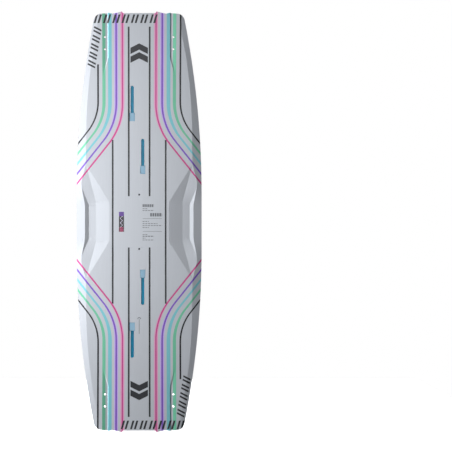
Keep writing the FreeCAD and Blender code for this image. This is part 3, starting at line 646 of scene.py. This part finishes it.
# The label, in metres: the middle of its width, and where its middle part starts and ends.
LABEL_X, LABEL_LOW, LABEL_HIGH = -0.0584, -0.018, 0.0186
WAVE_SWING, WAVE_LINE = 0.0032, 0.0011
BARS_HALF = 0.0052


def label_print(name):
    """The small label: purple above, near black with a light wavy line, pink on maroon below."""
    m = Nodes(name, Coat_Weight=0.4, Coat_Roughness=0.1)
    x = m.maths("SUBTRACT", m.axis("X"), LABEL_X)
    z = m.axis("Z")
    wave = m.maths("MULTIPLY", m.maths("SINE", m.maths("MULTIPLY", z, 420.0)), WAVE_SWING)
    off = m.maths("ABSOLUTE", m.maths("SUBTRACT", x, wave))
    line = m.maths("LESS_THAN", off, WAVE_LINE)
    cloud = m.noise(120, (1, 1, 1), 2)
    dark = m.mix(m.span(cloud, 0.3, 0.7, 0, 1), linear(20, 18, 26), linear(34, 30, 44))
    middle = m.mix(line, dark, linear(196, 190, 214))
    above = m.mix(m.maths("GREATER_THAN", z, LABEL_HIGH), middle, linear(88, 46, 146))
    bars = m.maths("LESS_THAN", m.maths("SINE", m.maths("MULTIPLY", z, 1100.0)), -0.1)
    inner = m.maths("MULTIPLY", bars, m.maths("LESS_THAN", m.maths("ABSOLUTE", x), BARS_HALF))
    below = m.mix(inner, linear(92, 20, 56), linear(196, 60, 116))
    m.feed("Base Color", m.mix(m.maths("LESS_THAN", z, LABEL_LOW), above, below))
    m.feed("Roughness", m.span(cloud, 0.3, 0.7, 0.25, 0.35))
    return m.material


PRINTS = {
    "deck_grey": satin_print("deck_grey", (200, 205, 213), 0.035),
    "deck_pink": satin_print("deck_pink", (206, 76, 146)),
    "deck_pale_pink": satin_print("deck_pale_pink", (230, 166, 206)),
    "deck_purple": satin_print("deck_purple", (130, 92, 200)),
    "deck_pale_purple": satin_print("deck_pale_purple", (204, 180, 242)),
    "deck_cyan": satin_print("deck_cyan", (128, 202, 214)),
    "deck_green": satin_print("deck_green", (116, 200, 166)),
    "deck_black": satin_print("deck_black", (38, 40, 46), 0.1),
    "deck_line": satin_print("deck_line", (46, 48, 54), 0.1),
    "deck_mark": satin_print("deck_mark", (52, 54, 59), 0.1),
    "deck_fine": satin_print("deck_fine", (112, 116, 122), 0.1),
    "base_dark": gloss_base("base_dark"),
    "base_pink": gloss_base("base_pink", (238, 62, 150)),
    "base_purple": gloss_base("base_purple", (140, 74, 228)),
    "base_cyan": gloss_base("base_cyan", (84, 222, 232)),
    "base_green": gloss_base("base_green", (78, 216, 156)),
    "base_white": gloss_base("base_white", (226, 228, 230)),
    "base_mark": gloss_base("base_mark", (204, 208, 212)),
}
FINISHES = {
    "laminate": glass_laminate("laminate"),
    "core_wood": pale_wood("core_wood"),
    "rail_abs": moulded("rail_abs", (70, 73, 79), 0.66),
    "track_blue": moulded("track_blue", (12, 190, 228), 0.35),
    "plug_pale_blue": moulded("plug_pale_blue", (146, 186, 212), 0.4),
    "nut_steel": turned_steel("nut_steel", (176, 178, 182)),
    "insert_steel": turned_steel("insert_steel", (78, 80, 86)),
    "bush_plastic": moulded("bush_plastic", (52, 53, 56), 0.45),
    "deck_label": label_print("deck_label"),
}

# ---------------------------------------------------------------- pieces on the frame

for surface, outward, creases, prints, holes, plain, node in (
        (deck_y, -1, DECK_CREASES, deck_print, deck_holes + screw_holes, "deck_grey", "deck_topsheet"),
        (base_y, 1, BASE_CREASES, base_print, screw_holes, "base_dark", "base_sheet")):
    for kind, piece in sheets(surface, outward, creases, prints, holes, plain).items():
        piece.data.materials.append(PRINTS[kind])
        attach(piece, "board")
        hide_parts(node)
        piece.name = kind + "_print"

for subpart in frame["record"]["subparts"]:
    if subpart["material_slot"] in FINISHES:
        node = frame["nodes"][subpart["node"]]
        for slot in node.material_slots:
            slot.material = FINISHES[subpart["material_slot"]]

# ---------------------------------------------------------------- floor, light and camera

FLOOR_GAP, FLOOR_X, FLOOR_Y = 0.0005, 1.2, 1.0
floor_z = cad_box[0][2] - FLOOR_GAP
floor_mesh = bpy.data.meshes.new("floor")
floor_mesh.from_pydata([(-FLOOR_X, -FLOOR_Y, floor_z), (FLOOR_X, -FLOOR_Y, floor_z),
                        (FLOOR_X, FLOOR_Y, floor_z), (-FLOOR_X, FLOOR_Y, floor_z)],
                       [], [(0, 1, 2, 3)])
floor = bpy.data.objects.new("floor", floor_mesh)
bpy.context.collection.objects.link(floor)
paper = Nodes("floor_paper", Roughness=0.9)
paper.feed("Base Color", paper.mix(paper.noise(3, (1, 1, 1), 3),
                                   linear(248, 248, 248), linear(252, 252, 252)))
floor.data.materials.append(paper.material)
floor.visible_diffuse = False
floor.visible_glossy = False


def softbox(name, spot, aim, wide, high, power):
    """A large area light aimed at a point."""
    data = bpy.data.lights.new(name, "AREA")
    data.shape = "RECTANGLE"
    data.size, data.size_y, data.energy = wide, high, power
    lamp = bpy.data.objects.new(name, data)
    bpy.context.collection.objects.link(lamp)
    lamp.location = spot
    lamp.rotation_euler = (Vector(aim) - lamp.location).to_track_quat("-Z", "Y").to_euler()
    lamp.visible_camera = False
    return lamp


# Each face has a low key from its left, as seen from that side, and the deck has a soft fill.
KEY_SIZE = 0.65
softbox("key_front", (-1.35, -0.35, 0.12), (0, 0, 0), KEY_SIZE, KEY_SIZE, 55)
softbox("fill_front", (-0.35, -1.95, 0.28), (0, 0, 0), 1.6, 0.8, 9.6)
softbox("key_rear", (1.35, 0.35, 0.12), (0, 0, 0), KEY_SIZE, KEY_SIZE, 50)

# The gloss base mirrors a tall strip beside its spine, in three parts that are dimmer lower down.
STRIP_X, STRIP_Y, STRIP_WIDE = 0.51, 2.0, 0.9
for name, z, high, power in (("strip_rear_high", 0.86, 1.7, 10), ("strip_rear_mid", -0.32, 0.65, 2.1),
                             ("strip_rear_low", -1.28, 1.25, 2.2)):
    softbox(name, (STRIP_X, STRIP_Y, z), (STRIP_X, 0, z), STRIP_WIDE, high, power)

# The floor has a light of its own, so that it is pale and the board's light stays as it is.
floor_light = softbox("floor_light", (0, 0, 2.4), (0, 0, -0.7), 2.0, 2.0, 110)
floor_only = bpy.data.collections.new("floor_only")
floor_only.objects.link(floor)
floor_light.light_linking.receiver_collection = floor_only

# The camera sees a white world, which lights nothing.
world = bpy.data.worlds.new("studio")
bpy.context.scene.world = world
world.use_nodes = True
sky = world.node_tree
back = sky.nodes["Background"]
back.inputs["Color"].default_value = (1, 1, 1, 1)
path = sky.nodes.new("ShaderNodeLightPath")
sky.links.new(path.outputs["Is Camera Ray"], back.inputs["Strength"])

FRAME = 452
BOARD_MIDDLE = (139.2, 221.8)  # where the board's middle stands in the frame
CAMERA_AWAY = 3.17
camera_data = bpy.data.cameras.new("camera")
camera_data.lens = 77
camera_data.sensor_width = 36
camera_data.shift_x = (FRAME / 2 - BOARD_MIDDLE[0]) / FRAME
camera_data.shift_y = (BOARD_MIDDLE[1] - FRAME / 2) / FRAME
camera = bpy.data.objects.new("camera", camera_data)
camera.location = (0, -CAMERA_AWAY, 0)
camera.rotation_euler = (math.radians(90), 0, 0)
bpy.context.collection.objects.link(camera)
bpy.context.scene.camera = camera
bpy.context.scene.view_settings.view_transform = "Standard"
